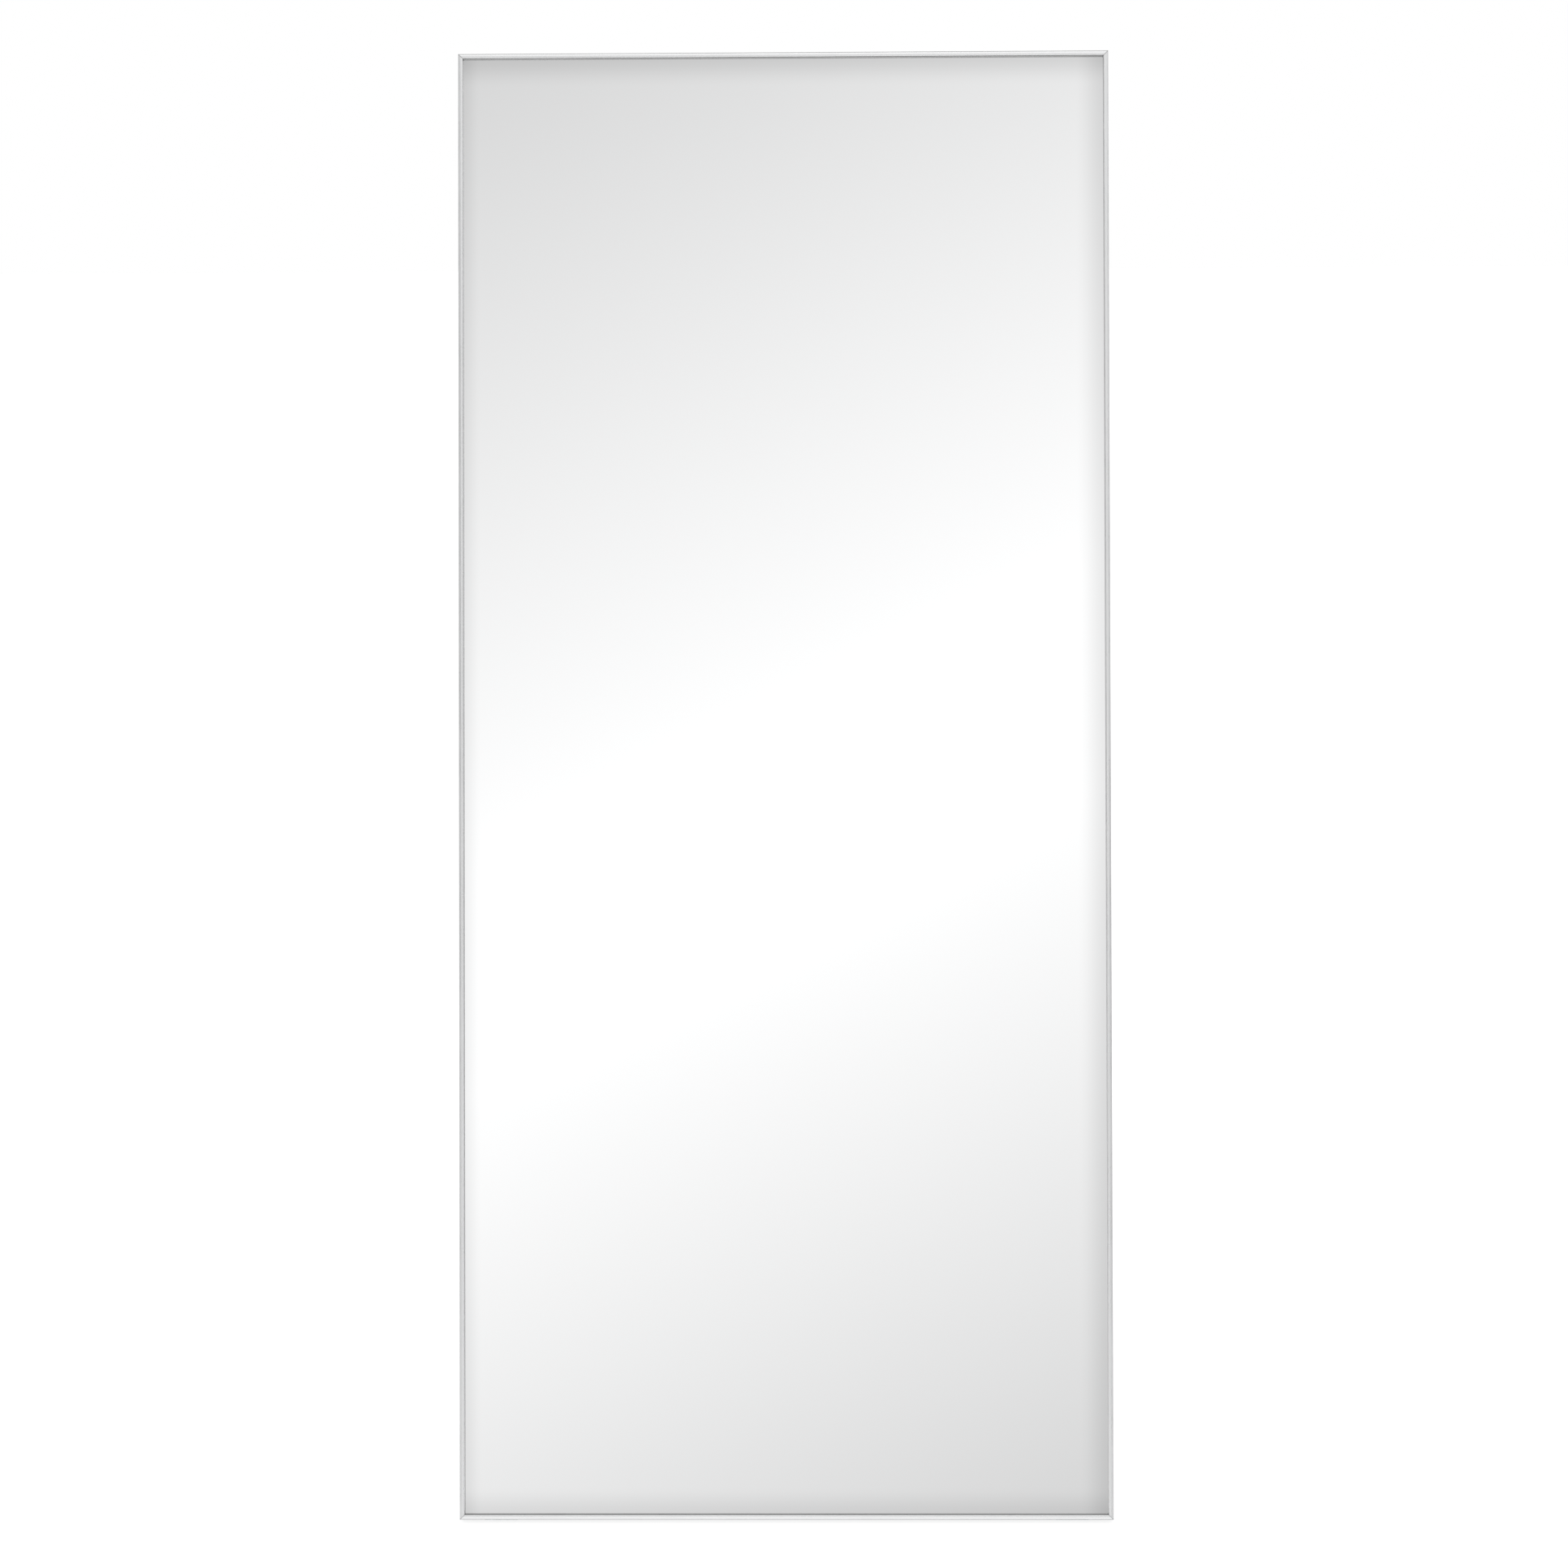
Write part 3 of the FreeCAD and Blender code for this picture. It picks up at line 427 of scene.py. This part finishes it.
def dress_nodes():
    """Gives every CAD node the material that it is made of, the rails as three copies of one
    anodised metal with painted light and shade.
    """
    # The four rails are one anodised metal; these copies differ in base level and return level as
    # painted light and shade, the bottom rail's return darkest and the side rails' return palest
    bottom_rail_painted_light = anodised_aluminium("anodised_bottom_rail_painted_light", "X", 0.87, 0.24)
    side_rail_painted_light = anodised_aluminium("anodised_side_rail_painted_light", "Z", 0.81, 0.92)
    top_rail_painted_light = anodised_aluminium("anodised_top_rail_painted_light", "X", 0.82, 0.46)
    foot_rubber = soft_rubber("foot_rubber", 0.030, 0.5 * MM)
    glazing_rubber = soft_rubber("glazing_rubber", 0.06, 0.4 * MM)
    nickel = plated_metal("nickel_plate", grey(0.50, 0.006), grey(0.66, 0.005), 0.27, 1.4 * MM)
    bright_zinc = plated_metal("bright_zinc", grey(0.56, -0.008), grey(0.70, -0.004), 0.20, 0.5 * MM)
    cast_zinc = plated_metal("cast_zinc", grey(0.36), grey(0.46), 0.48, 2.5 * MM)
    screws = ["corner_key_screws", "bracket_screws", "joint_screws", "fitting_rivets", "pivot_nuts"]
    finishes = {
        bottom_rail_painted_light: ["bottom_rail"],
        side_rail_painted_light: ["left_rail", "right_rail"],
        top_rail_painted_light: ["top_rail"],
        silvered_glass(): ["mirror_glass"],
        safety_film(): ["safety_film"],
        glazing_rubber: ["glazing_gasket"],
        closed_cell_foam(): ["foam_tape"],
        hardboard(): ["backing_board"],
        powder_coat(): both("leg_tube") + ["foot_crossbar"],
        clear_silicone(): both("foot_pad"),
        nylon(): both("pivot_bush") + ["pivot_washers"],
        foot_rubber: both("rubber_foot") + both("stand_bumper"),
        nickel: both("hinge_bracket") + both("end_fitting"),
        bright_zinc: screws + both("pivot_bolt") + both("joint_sleeve"),
        cast_zinc: both("corner_key_bottom") + both("corner_key_top"),
    }
    for material, names in finishes.items():
        for name in names:
            for slot in frame["nodes"][name].material_slots:
                slot.material = material


# ---------------------------------------------------------------- stage, light and camera


def add_to_scene(name, data):
    made = bpy.data.objects.new(name, data)
    bpy.context.scene.collection.objects.link(made)
    return made


def floor():
    """A wide pale floor that runs out to the horizon and shows in no reflection."""
    half_size = 60
    mottle_size = 1.5
    mesh = bpy.data.meshes.new("floor")
    shape = bmesh.new()
    bmesh.ops.create_grid(shape, x_segments=8, y_segments=8, size=half_size)
    shape.to_mesh(mesh)
    shape.free()
    made = add_to_scene("floor", mesh)
    shader = Shader(
        "pale_floor",
        Roughness=0.9,
        Specular_IOR_Level=0.0,
        Emission_Color=grey(1.0),
        Emission_Strength=0.8,
    )
    mottle = shader.noise(shader.place(), mottle_size)
    shader.drive("Base Color", shader.mix(mottle, grey(0.24), grey(0.26)))
    mesh.materials.append(shader.material)
    made.visible_glossy = False


def hidden_light(name, data, shines_along, at=(0, 0, 0)):
    """A light that lights surfaces, but that no reflection and no camera sees."""
    made = add_to_scene(name, data)
    made.location = at
    made.rotation_euler = shines_along.to_track_quat("-Z", "Y").to_euler()
    made.visible_glossy = False
    made.visible_camera = False


def sky_patch(strength, spread_deg, direction):
    """Even light from a wide patch of sky round one direction."""
    light = bpy.data.lights.new("sky_patch", "SUN")
    light.energy = strength
    light.angle = math.radians(spread_deg)
    hidden_light("sky_patch", light, -Vector(direction))


def softbox(name, at, towards, size, power):
    """A square area light."""
    light = bpy.data.lights.new(name, "AREA")
    light.shape = "SQUARE"
    light.size = size
    light.energy = power
    hidden_light(name, light, Vector(towards) - Vector(at), at)


def front_light(sky, dx, dz):
    """What the glass and the frame's front reflect: a slanting white band, dark flags either
    side of the view, a softbox above the band, a darker zenith, and the ground."""
    # How far a direction lies below the band's slanting middle line
    slope_x, slope_z, middle = 0.98, -2.02, 0.348
    off_middle = sky.plus(sky.plus(sky.times(dx, slope_x), sky.times(dz, slope_z)), middle)
    # The band's core is full, and it fades faster below than above
    core, fade_below = 0.05, 1.12
    loss_below = sky.times(sky.minus(off_middle, core), fade_below)
    loss_above = sky.minus(-core, off_middle)
    loss = sky.larger(sky.larger(loss_below, loss_above), 0.0)
    full, faded = 1.045, 0.62
    band = sky.larger(sky.minus(full, loss), faded)
    overhead_box = sky.ramp(dz, 0.34, 0.43, 0.0, 0.78)
    zenith = sky.ramp(dz, 0.58, 0.92, 1.0, 0.25)
    # The flags thin out upwards, and it is white again square out to the sides
    aside = sky.size_of(dx)
    flags = sky.times(sky.ramp(aside, 0.08, 0.24, 0.0, 0.50), sky.ramp(dz, 0.20, 0.36, 1.0, 0.5))
    sides = sky.minus(sky.ramp(aside, 0.45, 0.75, 1.0, 1.36), flags)
    above_ground = sky.times(sky.times(sky.plus(band, overhead_box), zenith), sides)
    ground = sky.ramp(dz, -0.75, -0.22, 0.26, 1.22)
    is_ground = sky.ramp(dz, -0.06, -0.01, 1.0, 0.0)
    return sky.blend(is_ground, above_ground, ground)


def rear_light(sky, dz):
    """What the back reflects: even light, strongest round 17 degrees up."""
    return sky.times(sky.ramp(dz, 0.30, 0.90, 1.0, 0.30), sky.ramp(dz, -0.25, 0.30, 0.62, 1.05))


def studio():
    """A world that lights the front and the back apart, and that the camera sees as white."""
    world = bpy.data.worlds.new("studio")
    bpy.context.scene.world = world
    world.use_nodes = True
    sky = Graph(world.node_tree)
    dx, dy, dz = sky.axes(sky.node("ShaderNodeTexCoord").outputs["Generated"])
    facing_rear = sky.ramp(dy, -0.25, 0.25)
    strength = sky.blend(facing_rear, front_light(sky, dx, dz), rear_light(sky, dz))
    seen = sky.node("ShaderNodeLightPath").outputs["Is Camera Ray"]
    background = sky.tree.nodes["Background"]
    background.inputs["Color"].default_value = grey(1.0)
    sky.feed(background.inputs["Strength"], sky.larger(strength, seen))


def camera():
    """Almost square on to the leaning glass, a little to one side and very slightly rolled."""
    level_reach = math.cos(CAMERA_ELEVATION)
    back = Vector(
        (
            math.sin(CAMERA_AZIMUTH) * level_reach,
            -math.cos(CAMERA_AZIMUTH) * level_reach,
            math.sin(CAMERA_ELEVATION),
        )
    )
    level = (-back).cross(Vector((0, 0, 1))).normalized()
    upright = level.cross(-back)
    right = level * math.cos(CAMERA_ROLL) + upright * math.sin(CAMERA_ROLL)
    up = upright * math.cos(CAMERA_ROLL) - level * math.sin(CAMERA_ROLL)
    place = on_panel(*CAMERA_TARGET) + back * CAMERA_DISTANCE
    data = bpy.data.cameras.new("camera")
    data.lens = CAMERA_LENS_MM
    data.sensor_width = CAMERA_SENSOR_MM
    data.clip_end = 500.0
    made = add_to_scene("camera", data)
    made.matrix_world = Matrix.Translation(place) @ Matrix((right, up, back)).transposed().to_4x4()
    bpy.context.scene.camera = made


def light_and_view():
    floor()
    studio()
    sky_patch(strength=2.2, spread_deg=110, direction=(-0.4, -0.3, 1.0))
    softbox("rear_softbox", at=(1.8, 3.0, 3.2), towards=(0, 0, 0.8), size=2.5, power=60)
    camera()
    scene = bpy.context.scene
    scene.view_settings.view_transform = "Standard"
    scene.view_settings.look = "None"
    scene.cycles.use_denoising = True


dress_nodes()
light_and_view()
